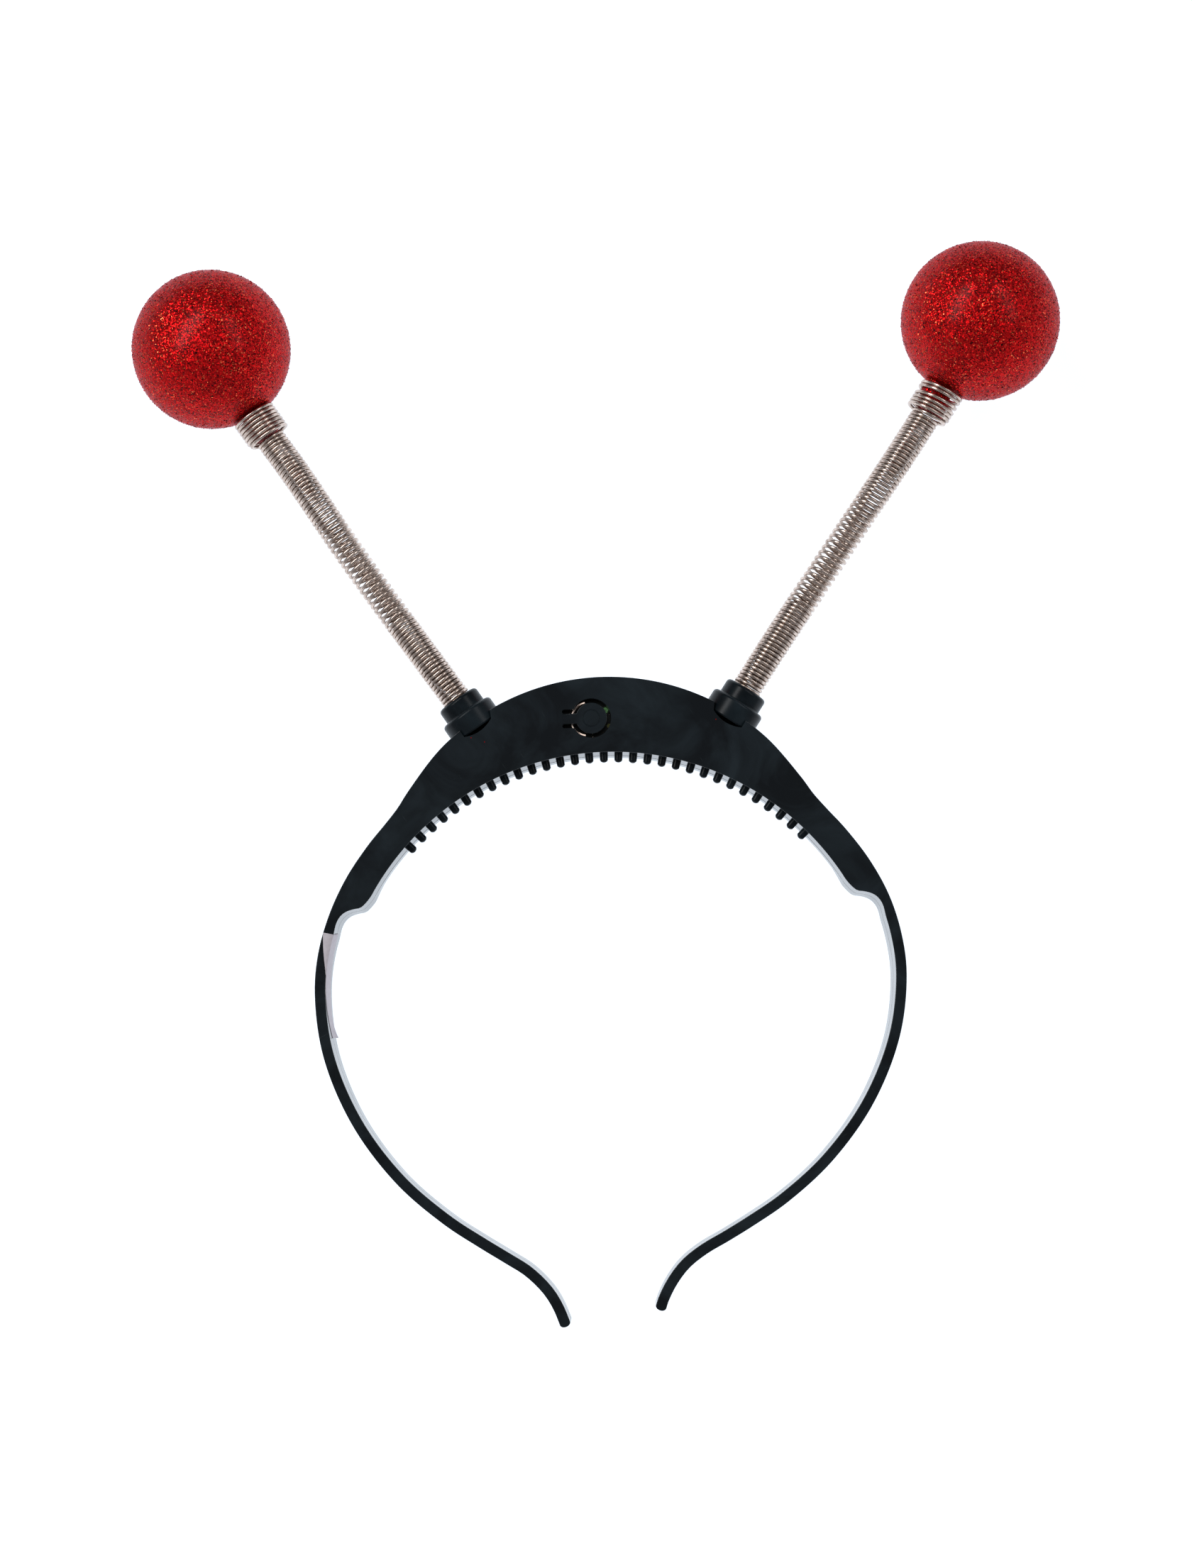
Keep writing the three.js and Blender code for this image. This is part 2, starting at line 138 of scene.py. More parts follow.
def setStudio():
    scene = bpy.context.scene
    scene.view_settings.view_transform = "Standard"
    world = bpy.data.worlds.new("studio")
    scene.world = world
    world.use_nodes = True
    tree = world.node_tree
    direction = addNode(tree, "ShaderNodeTexCoord").outputs["Generated"]
    axes = addNode(tree, "ShaderNodeSeparateXYZ", {"Vector": direction}).outputs
    horizon = addNode(tree, "ShaderNodeMapRange", {
        "Value": axes["Y"], "From Min": studio["turned"][0], "From Max": studio["turned"][1],
        "To Min": studio["horizon"], "To Max": studio["behind"],
    }).outputs["Result"]
    level = addNode(tree, "ShaderNodeMapRange", {
        "Value": axes["Z"], "From Min": studio["raised"][0], "From Max": studio["raised"][1],
        "To Min": horizon, "To Max": studio["ceiling"],
    })
    tree.links.new(level.outputs["Result"], tree.nodes["Background"].inputs["Strength"])
    tree.nodes["Background"].inputs["Color"].default_value = linear(studio["sky"])

    for number, box in enumerate(studio["boxes"]):
        place = Vector(box["place"])
        aim = (Vector(studio["aim"]) - place).to_track_quat("-Z", "Y").to_euler()
        bpy.ops.object.light_add(type="AREA", location=place, rotation=aim)
        light = bpy.context.object
        light.name = "softbox" + str(number)
        light.data.shape = "RECTANGLE"
        light.data.size, light.data.size_y = box["size"]
        light.data.energy = box["power"]

    bpy.ops.mesh.primitive_plane_add(size=studio["table"], location=(0, 0, -studio["tableLow"] * mm))
    table = bpy.context.object
    table.name = "table"
    material, tree, shader = newMaterial("whiteTable")
    shader.inputs["Base Color"].default_value = linear(studio["tableWhite"])
    shader.inputs["Roughness"].default_value = studio["tableRough"]
    shader.inputs["Specular IOR Level"].default_value = studio["tableSheen"]
    # Painted light: the table's own glow, brightest in the middle, fills in the shadows cast on it
    shader.inputs["Emission Color"].default_value = linear(studio["tableGlowTint"])
    place = addNode(tree, "ShaderNodeTexCoord").outputs["Object"]
    distance = addNode(tree, "ShaderNodeVectorMath", {
        0: place, 1: studio["tableMiddle"],
    }, operation="DISTANCE").outputs["Value"]
    falls = [addNode(tree, "ShaderNodeMapRange", {
        "Value": distance, "From Min": fall["from"], "From Max": fall["to"],
        "To Min": fall["level"][0], "To Max": fall["level"][1],
    }, interpolation_type="SMOOTHSTEP").outputs["Result"] for fall in studio["tableGlow"]]
    glow = addNode(tree, "ShaderNodeMath", dict(enumerate(falls)), operation="MULTIPLY")
    tree.links.new(glow.outputs[0], shader.inputs["Emission Strength"])
    table.data.materials.append(material)


setCamera()
setStudio()
print("camera, table and light set")


# Moulded ABS: near black with a faint blue cast, soft gloss, hazy wipe marks, hairline scratches and dust
absLook = {
    "dark": "#090f13", "pale": "#1d262b", "hazeSize": 18, "hazeStops": (0.4, 0.72),
    "scratch": "#353c40", "scratchSize": (0.16, 5, 20), "scratchCut": (0.775, 0.86),
    "scratchSets": [{"turn": 0.6, "shift": 0.0}, {"turn": -1.1, "shift": 3.7}],
    "dust": "#a9adb0", "dustSpacing": 7, "dustSize": 0.022, "dustRare": 0.72,
    "grainSize": 0.9, "grainBump": 0.05, "grainHeight": 0.1, "ior": 1.52,
    "gloss": {"roughness": (0.1, 0.24), "specular": 0.37},
    "satin": {"roughness": (0.24, 0.34), "specular": 0.12},
}


def mouldedAbs(name, skin):
    material, tree, shader = newMaterial(name)
    place = addNode(tree, "ShaderNodeTexCoord").outputs["Object"]
    haze = addNode(tree, "ShaderNodeTexNoise", {
        "Vector": place, "Scale": 1 / (absLook["hazeSize"] * mm), "Detail": 4.0, "Roughness": 0.6,
        "Distortion": 1.2,
    }).outputs["Fac"]
    body = addNode(tree, "ShaderNodeValToRGB", {"Fac": haze})
    setRamp(body, zip(absLook["hazeStops"], (absLook["dark"], absLook["pale"])))

    # Two sets of scratches, each a noise drawn out along its own direction
    marks = None
    for row in absLook["scratchSets"]:
        drawn = addNode(tree, "ShaderNodeMapping", {
            "Vector": place, "Location": (row["shift"], row["shift"], 0), "Rotation": (0, 0, row["turn"]),
            "Scale": [size * mm for size in absLook["scratchSize"]],
        }, vector_type="TEXTURE")
        line = addNode(tree, "ShaderNodeTexNoise", {
            "Vector": drawn.outputs["Vector"], "Scale": 1.0, "Detail": 1.0,
        })
        mark = addNode(tree, "ShaderNodeMapRange", {
            "Value": line.outputs["Fac"],
            "From Min": absLook["scratchCut"][0], "From Max": absLook["scratchCut"][1],
        }).outputs["Result"]
        marks = mark if marks is None else addNode(
            tree, "ShaderNodeMath", {0: marks, 1: mark}, operation="MAXIMUM").outputs[0]
    scratched = addNode(tree, "ShaderNodeMix", {
        "Factor": marks, "A": body.outputs["Color"], "B": linear(absLook["scratch"]),
    }, data_type="RGBA")

    # Dust: a few cells of a wide grid hold one speck each
    cells = addNode(tree, "ShaderNodeTexVoronoi", {
        "Vector": place, "Scale": 1 / (absLook["dustSpacing"] * mm),
    })
    picked = addNode(tree, "ShaderNodeSeparateColor", {"Color": cells.outputs["Color"]}).outputs["Red"]
    near = addNode(tree, "ShaderNodeMath", {
        0: cells.outputs["Distance"], 1: absLook["dustSize"],
    }, operation="LESS_THAN")
    rare = addNode(tree, "ShaderNodeMath", {0: picked, 1: absLook["dustRare"]}, operation="GREATER_THAN")
    speck = addNode(tree, "ShaderNodeMath", {0: near.outputs[0], 1: rare.outputs[0]}, operation="MULTIPLY")
    dusted = addNode(tree, "ShaderNodeMix", {
        "Factor": speck.outputs[0], "A": scratched.outputs[2], "B": linear(absLook["dust"]),
    }, data_type="RGBA")
    tree.links.new(dusted.outputs[2], shader.inputs["Base Color"])

    gloss = addNode(tree, "ShaderNodeMapRange", {
        "Value": haze, "To Min": skin["roughness"][0], "To Max": skin["roughness"][1],
    })
    tree.links.new(gloss.outputs["Result"], shader.inputs["Roughness"])
    grain = addNode(tree, "ShaderNodeTexNoise", {
        "Vector": place, "Scale": 1 / (absLook["grainSize"] * mm), "Detail": 3.0,
    }).outputs["Fac"]
    bump = addNode(tree, "ShaderNodeBump", {
        "Height": grain, "Strength": absLook["grainBump"], "Distance": absLook["grainHeight"] * mm,
    })
    tree.links.new(bump.outputs["Normal"], shader.inputs["Normal"])
    shader.inputs["IOR"].default_value = absLook["ior"]
    shader.inputs["Specular IOR Level"].default_value = skin["specular"]
    return material


# Nickel-plated spring wire: bright drawn metal, slightly warm, with fine patches of tarnish
wireLook = {
    "stops": [(0.3, "#9c8b80"), (0.62, "#d8c8bd")], "patch": 1.4, "roughness": (0.38, 0.14),
    "drawn": 0.2, "drawnBump": 0.08, "drawnHeight": 0.05,
}


def nickelWire():
    material, tree, shader = newMaterial("nickelWire")
    place = addNode(tree, "ShaderNodeTexCoord").outputs["Object"]
    patches = addNode(tree, "ShaderNodeTexNoise", {
        "Vector": place, "Scale": 1 / (wireLook["patch"] * mm), "Detail": 4.0, "Roughness": 0.7,
    }).outputs["Fac"]
    colour = addNode(tree, "ShaderNodeValToRGB", {"Fac": patches})
    setRamp(colour, wireLook["stops"])
    tree.links.new(colour.outputs["Color"], shader.inputs["Base Color"])
    gloss = addNode(tree, "ShaderNodeMapRange", {
        "Value": patches, "To Min": wireLook["roughness"][0], "To Max": wireLook["roughness"][1],
    })
    tree.links.new(gloss.outputs["Result"], shader.inputs["Roughness"])
    draw = addNode(tree, "ShaderNodeTexNoise", {
        "Vector": place, "Scale": 1 / (wireLook["drawn"] * mm), "Detail": 2.0,
    }).outputs["Fac"]
    bump = addNode(tree, "ShaderNodeBump", {
        "Height": draw, "Strength": wireLook["drawnBump"], "Distance": wireLook["drawnHeight"] * mm,
    })
    tree.links.new(bump.outputs["Normal"], shader.inputs["Normal"])
    shader.inputs["Metallic"].default_value = 1.0
    return material


# Red foil glitter glued all over: each flake tips its own way, and its colour is picked flake by flake, some
# painted near black as painted reflection of dark surroundings and some pale orange as painted glints
glitterLook = {
    "flake": 0.26, "tip": 0.8, "edge": "#bd6579", "metallic": 0.8, "roughness": (0.16, 0.42),
    "varnish": 0.11, "varnishRough": 0.25, "loose": {"metallic": 0.85, "roughness": 0.22},
    # Stops: the lowest share painted near black as painted reflection, the top few percent pale orange as
    # painted glints
    "stops": [(0.0, "#1c0204"), (0.1, "#5d0408"), (0.3, "#b0090c"), (0.8, "#d21113"), (0.95, "#da1c16"),
              (1.0, "#ff8252")],
}


def foilGlitter():
    material, tree, shader = newMaterial("foilGlitter")
    place = addNode(tree, "ShaderNodeTexCoord").outputs["Object"]
    flakes = addNode(tree, "ShaderNodeTexVoronoi", {
        "Vector": place, "Scale": 1 / (glitterLook["flake"] * mm), "Randomness": 1.0,
    })
    chance = addNode(tree, "ShaderNodeSeparateColor", {"Color": flakes.outputs["Color"]})
    colour = addNode(tree, "ShaderNodeValToRGB", {"Fac": chance.outputs["Red"]})
    setRamp(colour, glitterLook["stops"])
    tree.links.new(colour.outputs["Color"], shader.inputs["Base Color"])
    spread = addNode(tree, "ShaderNodeVectorMath", {
        0: flakes.outputs["Color"], 1: (0.5, 0.5, 0.5),
    }, operation="SUBTRACT")
    tipped = addNode(tree, "ShaderNodeVectorMath", {
        0: spread.outputs["Vector"], "Scale": glitterLook["tip"],
    }, operation="SCALE")
    facing = addNode(tree, "ShaderNodeNewGeometry").outputs["Normal"]
    leaning = addNode(tree, "ShaderNodeVectorMath", {
        0: facing, 1: tipped.outputs["Vector"],
    }, operation="ADD")
    unit = addNode(tree, "ShaderNodeVectorMath", {0: leaning.outputs["Vector"]}, operation="NORMALIZE")
    tree.links.new(unit.outputs["Vector"], shader.inputs["Normal"])
    gloss = addNode(tree, "ShaderNodeMapRange", {
        "Value": chance.outputs["Green"],
        "To Min": glitterLook["roughness"][0], "To Max": glitterLook["roughness"][1],
    })
    tree.links.new(gloss.outputs["Result"], shader.inputs["Roughness"])
    shader.inputs["Metallic"].default_value = glitterLook["metallic"]
    shader.inputs["Specular Tint"].default_value = linear(glitterLook["edge"])
    shader.inputs["Coat Weight"].default_value = glitterLook["varnish"]
    shader.inputs["Coat Roughness"].default_value = glitterLook["varnishRough"]
    return material


# Loose flakes that stand proud of the coat: the same foil, tinted flake by flake through the same stops,
# painted glints and painted dark reflections included
def proudFoil():
    material, tree, shader = newMaterial("proudFoil")
    tint = addNode(tree, "ShaderNodeAttribute", attribute_name="tint").outputs["Fac"]
    colour = addNode(tree, "ShaderNodeValToRGB", {"Fac": tint})
    setRamp(colour, glitterLook["stops"])
    tree.links.new(colour.outputs["Color"], shader.inputs["Base Color"])
    shader.inputs["Metallic"].default_value = glitterLook["loose"]["metallic"]
    shader.inputs["Roughness"].default_value = glitterLook["loose"]["roughness"]
    return material


# Solder mask on glass epoxy, painted near black as painted shade under the crown, with small patches of its
# green painted bright as painted highlights where light reaches it through the slot
boardLook = {
    "mask": "#061009", "roughness": 0.3, "softEdge": 0.7,
    # Patches of painted light: the board's green and yellow-green made bright at given places in the slot
    "litSpots": [
        {"at": (3.3, 2.3), "size": 0.8, "colour": "#a4f59a"},
        {"at": (-5.9, -2.2), "size": 0.4, "colour": "#9be89f"},
        {"at": (4.1, -1.4), "size": 0.6, "colour": "#eef07c"},
    ],
}


def solderMask():
    material, tree, shader = newMaterial("solderMask")
    place = addNode(tree, "ShaderNodeTexCoord").outputs["Object"]
    colour = linear(boardLook["mask"])
    for litSpot in boardLook["litSpots"]:
        x, y = (value + offset for value, offset in zip(litSpot["at"], buttonAt))
        centre = bandPoint(x, y, boardHigh.z / mm)
        away = addNode(tree, "ShaderNodeVectorMath", {0: place, 1: centre}, operation="DISTANCE")
        share = addNode(tree, "ShaderNodeMapRange", {
            "Value": away.outputs["Value"],
            "From Min": litSpot["size"] * mm, "From Max": boardLook["softEdge"] * litSpot["size"] * mm,
        }).outputs["Result"]
        colour = addNode(tree, "ShaderNodeMix", {
            "Factor": share, "A": colour, "B": linear(litSpot["colour"]),
        }, data_type="RGBA").outputs[2]
    tree.links.new(colour, shader.inputs["Base Color"])
    shader.inputs["Roughness"].default_value = boardLook["roughness"]
    return material


# Stamped brass strip: pale gold painted up to near white, a painted highlight for the light it catches in
# the slot, with faint handling marks
brassLook = {"marks": 1.5, "stops": [(0.3, "#f0d4c2"), (0.7, "#fff0e4")], "metallic": 0.6, "roughness": 0.45}


def stampedBrass():
    material, tree, shader = newMaterial("stampedBrass")
    place = addNode(tree, "ShaderNodeTexCoord").outputs["Object"]
    marks = addNode(tree, "ShaderNodeTexNoise", {
        "Vector": place, "Scale": 1 / (brassLook["marks"] * mm), "Detail": 3.0,
    })
    colour = addNode(tree, "ShaderNodeValToRGB", {"Fac": marks.outputs["Fac"]})
    setRamp(colour, brassLook["stops"])
    tree.links.new(colour.outputs["Color"], shader.inputs["Base Color"])
    shader.inputs["Metallic"].default_value = brassLook["metallic"]
    shader.inputs["Roughness"].default_value = brassLook["roughness"]
    return material


# Uncoated paper: off-white, matt, with a faint fibre
paperLook = {
    "fibre": 0.8, "stops": [(0.3, "#c3bcc2"), (0.7, "#d2cbd0")], "roughness": 0.85,
    "fibreBump": 0.15, "fibreHeight": 0.05,
}


def labelPaper():
    material, tree, shader = newMaterial("labelPaper")
    place = addNode(tree, "ShaderNodeTexCoord").outputs["Object"]
    fibre = addNode(tree, "ShaderNodeTexNoise", {
        "Vector": place, "Scale": 1 / (paperLook["fibre"] * mm), "Detail": 5.0,
    }).outputs["Fac"]
    colour = addNode(tree, "ShaderNodeValToRGB", {"Fac": fibre})
    setRamp(colour, paperLook["stops"])
    tree.links.new(colour.outputs["Color"], shader.inputs["Base Color"])
    bump = addNode(tree, "ShaderNodeBump", {
        "Height": fibre, "Strength": paperLook["fibreBump"], "Distance": paperLook["fibreHeight"] * mm,
    })
    tree.links.new(bump.outputs["Normal"], shader.inputs["Normal"])
    shader.inputs["Roughness"].default_value = paperLook["roughness"]
    return material


absBlack = mouldedAbs("mouldedAbs", absLook["gloss"])
absSatin = mouldedAbs("satinAbs", absLook["satin"])
nickel = nickelWire()
glitter = foilGlitter()
foil = proudFoil()
print("materials made")


# Band outline: two crown arcs, then arms by angle from the crown about the head opening's centre
band = {
    "depth": 15.0, "plate": 1.7, "crownWall": 1.6, "armWall": 2.5, "seam": 0.3, "rim": 0.16, "tipRound": 0.7,
    "outerArc": {"y": 15.6, "radius": 54.28, "lastAngle": 46},
    "innerArc": {"y": -11.6, "radius": 63.72, "halfAngle": 60.0, "draft": (0.38, -0.04)},
    "shoulder": [(50, 63.3), (54, 63.4), (60, 64.3), (68, 65.75), (76, 67.1)],
    "leftArm": [(84, 68.27), (92, 68.88), (104, 69.18), (118, 68.98), (132, 68.83), (144, 68.88),
                (152, 69.33), (158, 70.33), (162, 71.55), (166, 74.50), (168.17, 77.55), (169.62, 80.78)],
    "rightArm": [(84, 67.94), (92, 68.32), (104, 68.02), (118, 67.12), (132, 66.27), (144, 65.87),
                 (152, 65.92), (158, 66.47), (163, 67.36), (167, 69.21), (170, 72.21), (172.1, 75.71),
                 (172.63, 77.1)],
    "step": [(72, 59.65), (73, 60.4), (73.7, 61.9), (74.6, 63.4), (75.7, 64.4), (77.3, 65.0)],
    "armStart": 79.5, "hollowAngle": 65, "hollowEnd": 5, "cutPast": 1,
    "edgePoints": 260, "arcPoints": 90, "crownPoints": 9, "stepPoints": 26, "tipPoints": 11,
    "hollowPoints": 60,
}


def polar(angle, radius, sign):
    turn = math.radians(angle)
    return sign * radius * math.sin(turn), radius * math.cos(turn)


def angleOf(point):
    return math.degrees(math.atan2(abs(point[0]), point[1]))


def smoothThrough(points, count):
    # Even curve through uneven points, then equal steps along it
    perSpan = 16
    known = np.array(points, float)
    known = np.vstack([2 * known[0] - known[1], known, 2 * known[-1] - known[-2]])
    dense = []
    for a, b, c, d in zip(known, known[1:], known[2:], known[3:]):
        t1, t2, t3 = np.cumsum([np.linalg.norm(q - p) ** 0.5 for p, q in ((a, b), (b, c), (c, d))])
        t = np.linspace(t1, t2, perSpan, endpoint=False)[:, None]
        ab = ((t1 - t) * a + t * b) / t1
        bc = ((t2 - t) * b + (t - t1) * c) / (t2 - t1)
        cd = ((t3 - t) * c + (t - t2) * d) / (t3 - t2)
        abc = ((t2 - t) * ab + t * bc) / t2
        bcd = ((t3 - t) * bc + (t - t1) * cd) / (t3 - t1)
        dense.append(((t2 - t) * abc + (t - t1) * bcd) / (t2 - t1))
    dense = np.vstack([*dense, known[-2]])
    along = np.concatenate([[0], np.cumsum(np.linalg.norm(np.diff(dense, axis=0), axis=1))])
    wanted = np.linspace(0, along[-1], count)
    return np.stack([np.interp(wanted, along, dense[:, i]) for i in (0, 1)], 1)


def inset(points, distance):
    # Towards the head opening, which is on the right of the line from left tip to right tip
    along = np.gradient(points, axis=0)
    along /= np.linalg.norm(along, axis=1)[:, None]
    return points + distance * np.stack([along[:, 1], -along[:, 0]], 1)


def arcLine(arc, radius, halfAngle, count):
    turns = np.radians(np.linspace(halfAngle, -halfAngle, count))
    return np.stack([radius * np.sin(turns), arc["y"] + radius * np.cos(turns)], 1)


def crownRadius(angle):
    arc, turn = band["outerArc"], math.radians(angle)
    return arc["y"] * math.cos(turn) + math.sqrt(arc["radius"] ** 2 - (arc["y"] * math.sin(turn)) ** 2)


def outerEdge():
    last = band["outerArc"]["lastAngle"]
    angles = np.linspace(-last, last, band["crownPoints"])
    crown = [polar(abs(a), crownRadius(a), math.copysign(1, a)) for a in angles]
    left = [polar(*row, -1) for row in band["shoulder"] + band["leftArm"]][::-1]
    right = [polar(*row, 1) for row in band["shoulder"] + band["rightArm"]]
    return smoothThrough(left + crown + right, band["edgePoints"])


edge = outerEdge()
edgeAngles = np.array([angleOf(point) for point in edge])


def roundTip(start, end):
    # Blunt end: half an oval, flatter than it is wide
    middle, half = (start + end) / 2, (start - end) / 2
    ahead = band["tipRound"] * np.array([half[1], -half[0]])
    turns = np.radians(np.linspace(0, 180, band["tipPoints"] + 2)[1:-1])
    return [middle + half * math.cos(t) + ahead * math.sin(t) for t in turns]


def bandOutline():
    inside = inset(edge, band["armWall"])
    leftInside = inside[(edgeAngles > band["armStart"]) & (edge[:, 0] < 0)]
    rightInside = inside[(edgeAngles > band["armStart"]) & (edge[:, 0] > 0)]
    arc = band["innerArc"]
    crown = arcLine(arc, arc["radius"], arc["halfAngle"], band["arcPoints"])
    rightRows = [polar(*row, 1) for row in band["step"][::-1]]
    leftRows = [polar(*row, -1) for row in band["step"]]
    rightStep = smoothThrough([*rightInside[2::-1], *rightRows, *crown[:3]], band["stepPoints"])
    leftStep = smoothThrough([*crown[-3:], *leftRows, *leftInside[:-4:-1]], band["stepPoints"])
    return [
        *edge,
        *roundTip(edge[-1], rightInside[-1]),
        *rightInside[:2:-1],
        *rightStep,
        *crown[3:-3],
        *leftStep,
        *leftInside[-4::-1],
        *roundTip(leftInside[0], edge[0]),
    ]


def startPiece(name):
    piece = bpy.context.object
    piece.name = piece.data.name = name
    return piece


def outlinePiece(name, points, bottom, top):
    # A ring of points laid along the outline, filled and extruded
    bpy.ops.object.select_all(action="DESELECT")
    bpy.ops.mesh.primitive_circle_add(vertices=len(points), radius=mm, fill_type="NGON")
    piece = startPiece(name)
    for vertex, (x, y) in zip(piece.data.vertices, points):
        vertex.co = bandPoint(x, y, bottom)
    bpy.ops.object.mode_set(mode="EDIT")
    bpy.ops.mesh.select_all(action="SELECT")
    bpy.ops.mesh.extrude_region_move(TRANSFORM_OT_translate={"value": (0, 0, (top - bottom) * mm)})
    bpy.ops.mesh.select_all(action="SELECT")
    bpy.ops.mesh.normals_make_consistent(inside=False)
    bpy.ops.object.mode_set(mode="OBJECT")
    return piece


def bevelLevel(piece, z, width, segments, wanted=lambda middle: True):
    # Rounds the edges that lie at one height, or those of them that are wanted
    bpy.ops.object.select_all(action="DESELECT")
    bpy.context.view_layer.objects.active = piece
    piece.select_set(True)
    bpy.ops.object.mode_set(mode="EDIT")
    bpy.ops.mesh.select_mode(type="EDGE")
    bpy.ops.mesh.select_all(action="DESELECT")
    bpy.ops.object.mode_set(mode="OBJECT")
    level = [abs(vertex.co.z - z * mm) < 1e-6 for vertex in piece.data.vertices]
    for side in piece.data.edges:
        ends = [piece.data.vertices[i].co for i in side.vertices]
        side.select = all(level[i] for i in side.vertices) and wanted((ends[0] + ends[1]) / 2)
    bpy.ops.object.mode_set(mode="EDIT")
    bpy.ops.mesh.bevel(offset=width * mm, segments=segments, affect="EDGES")
    bpy.ops.object.mode_set(mode="OBJECT")


def applyModifier(piece, modifier):
    bpy.context.view_layer.objects.active = piece
    bpy.ops.object.modifier_apply(modifier=modifier.name)


def cutAway(piece, cutter):
    modifier = piece.modifiers.new("cut", "BOOLEAN")
    modifier.object = cutter
    modifier.operation = "DIFFERENCE"
    modifier.solver = "EXACT"
    applyModifier(piece, modifier)
    bpy.data.objects.remove(cutter)


def joinInto(piece, others):
    bpy.ops.object.select_all(action="DESELECT")
    for other in others:
        other.select_set(True)
    piece.select_set(True)
    bpy.context.view_layer.objects.active = piece
    bpy.ops.object.join()


def smoothFaces(piece, angle):
    bpy.ops.object.select_all(action="DESELECT")
    piece.select_set(True)
    bpy.context.view_layer.objects.active = piece
    bpy.ops.object.shade_smooth_by_angle(angle=math.radians(angle))
    modifier = piece.modifiers.new("normals", "WEIGHTED_NORMAL")
    modifier.keep_sharp = True
    applyModifier(piece, modifier)


def finishPiece(piece, material, body, slot, *nodes):
    piece.data.materials.clear()
    piece.data.materials.append(material)
    if body:
        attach(piece, body)
    if nodes:
        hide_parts(*nodes)


# Antennas: foot in the crown, axis leaning out and rising to the ball
antennas = {
    "left": {"sign": -1, "lean": 33.2, "ballAt": 110.66,
             "stray": [(9.6, 0.05), (22, 0.36), (51, 0.88), (75, 0.55), (86, 0.75), (93, 0.8)]},
    "right": {"sign": 1, "lean": 34.5, "ballAt": 112.36,
              "stray": [(9.6, -0.25), (22, -0.2), (51, 0.45), (75, 1.08), (88, 1.15), (95, 1.15)]},
}
foot = (28.9, 58.5, 9.0)
ball = {"radius": 18.6, "neck": 4.05, "neckLength": 6.0, "neckFrom": 0.2, "segments": 128, "rings": 64}
collar = {
    "start": 1.0, "ledge": 6.0, "mouth": 9.6, "radius": 6.6, "upper": 5.2, "bore": 3.8,
    "round": 0.9, "lip": 0.45, "base": 0.3, "crease": 0.15, "steps": 64,
}


def riseOf(side):
    return math.asin((ball["radius"] - foot[2]) / antennas[side]["ballAt"])


def neckStart(side):
    return antennas[side]["ballAt"] - ball["radius"] - ball["neckLength"]


def antennaPlace(side):
    # Matrix from millimetres along the antenna, its axis on Z and outward on X, to the part
    antenna = antennas[side]
    rise, lean = riseOf(side), math.radians(antenna["lean"])
    sign, level = antenna["sign"], math.cos(rise)
    axis = Vector((sign * math.sin(lean) * level, math.cos(lean) * level, math.sin(rise)))
    outward = Vector((sign * math.cos(lean), -math.sin(lean), 0))
    turn = Matrix((outward, axis.cross(outward), axis)).transposed().to_4x4()
    at = Matrix.Translation(bandPoint(sign * foot[0], foot[1], foot[2]))
    return at @ turn @ Matrix.Scale(mm, 4)


def strayAt(side, distances):
    # How far the spring strays outwards on its way to the ball
    steps = 60
    curve = smoothThrough(antennas[side]["stray"], steps)
    return np.interp(distances, curve[:, 0], curve[:, 1])


# Collar seats and the button's slot are cut from the half shells
seat = {
    "clearance": 0.15, "reach": 14, "below": 0.1, "above": 4, "steps": 64,
    "inner": 3.75, "outer": 3.9, "flare": 0.5, "corner": 0.5, "bow": 0.95, "bowPoints": 13,
}
button = {
    "radius": 3.65, "slot": 1.0, "tongue": 6.8, "tongueWidth": 2.45, "tail": 0.98, "rim": 0.12,
    "dimple": 1.95, "dimpleDepth": 0.14, "clear": 0.02, "root": 0.1, "above": 2,
    "slotPoints": 48, "tailPoints": 10, "discPoints": 56,
}


def cutSeats(shell):
    radius = collar["radius"] + seat["clearance"]
    middle = collar["start"] - seat["below"] + seat["reach"] / 2
    for side in antennas:
        bpy.ops.object.select_all(action="DESELECT")
        bpy.ops.mesh.primitive_cylinder_add(
            vertices=seat["steps"], radius=radius, depth=seat["reach"], location=(0, 0, middle))
        bore = startPiece("seat")
        bpy.ops.object.transform_apply()
        bore.data.transform(antennaPlace(side))
        cutAway(shell, bore)


def cutNotches(shell):
    # Bowed at the bottom, straight on the outer side and flared on the side towards the crown's middle
    inner, outer, reach = seat["inner"], seat["outer"], seat["reach"]
    middle, half = (outer - inner) / 2, (outer + inner) / 2
    shares = np.linspace(-1, 1, seat["bowPoints"])
    bottom = [(middle + half * u, seat["corner"] + seat["bow"] * (u * u - 1)) for u in shares]
    shape = [*bottom, (outer, reach), (-inner - seat["flare"] * reach, reach)]
    for antenna in antennas.values():
        sign, lean = antenna["sign"], math.radians(antenna["lean"])
        points = []
        for outward, along in shape:
            x = foot[0] + outward * math.cos(lean) + along * math.sin(lean)
            y = foot[1] - outward * math.sin(lean) + along * math.cos(lean)
            points.append((sign * x, y))
        cutAway(shell, outlinePiece("notch", points, foot[2], band["depth"] + seat["above"]))


def hollowOut(shell, bottom, top):
    outside = inset(edge, band["crownWall"])[edgeAngles < band["hollowAngle"]]
    arc = band["innerArc"]
    halfAngle = arc["halfAngle"] - band["hollowEnd"]
    inside = arcLine(arc, arc["radius"] + band["crownWall"], halfAngle, band["hollowPoints"])
    cutAway(shell, outlinePiece("hollow", [*outside, *inside], bottom, top))


def arcAround(cx, cy, radius, start, end, count):
    turns = np.radians(np.linspace(start, end, count))
    return [(cx + radius * math.cos(t), cy + radius * math.sin(t)) for t in turns]


